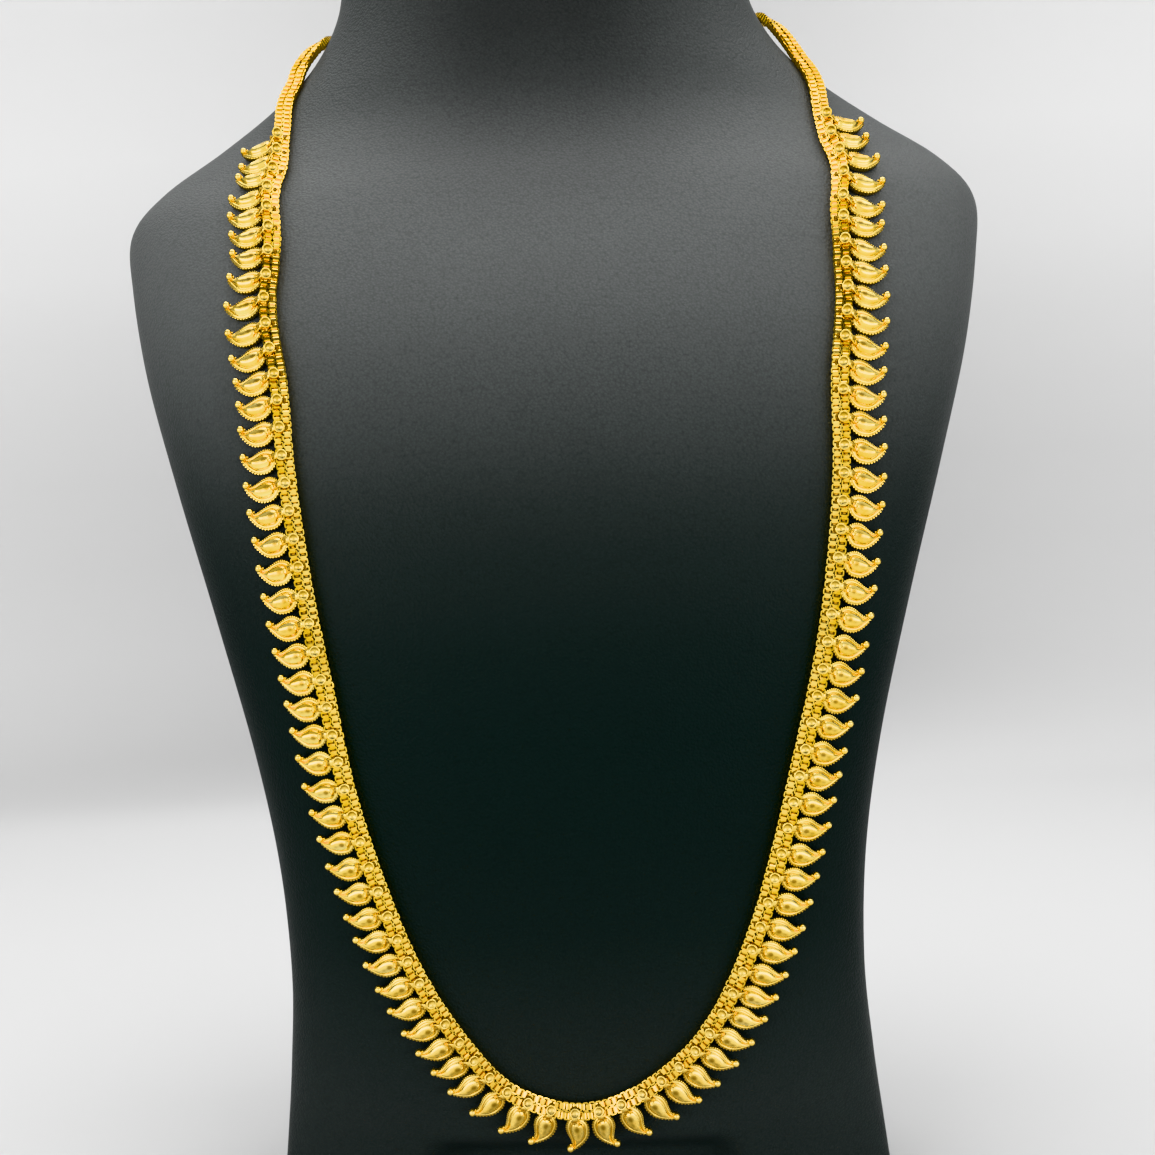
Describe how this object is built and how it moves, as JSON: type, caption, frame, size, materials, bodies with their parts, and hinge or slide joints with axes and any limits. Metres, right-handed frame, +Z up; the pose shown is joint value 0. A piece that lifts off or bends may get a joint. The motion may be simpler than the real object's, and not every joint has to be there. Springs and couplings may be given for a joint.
{
  "type": "long necklace on neck bust",
  "caption": "Long gold necklace of small paisley drops along a double box chain, lying on a plain black neck bust with a flat foot.",
  "frame": {"origin": "middle of the bust's flat foot, on the surface it stands on", "axes": "+Z up, +X to the viewer's right when facing the chest, -Y out of the chest towards the viewer"},
  "size_m": [0.2314, 0.1162, 0.352],
  "materials": {
    "leatherette": "fine-grained matt black leatherette",
    "gold": "bright polished yellow gold"
  },
  "bodies": {
    "root": {"neck_bust": "leatherette", "chain_inner_row": "gold", "chain_outer_row": "gold", "drops_left": "gold", "drops_right": "gold", "clasp": "gold"}
  },
  "joints": []
}
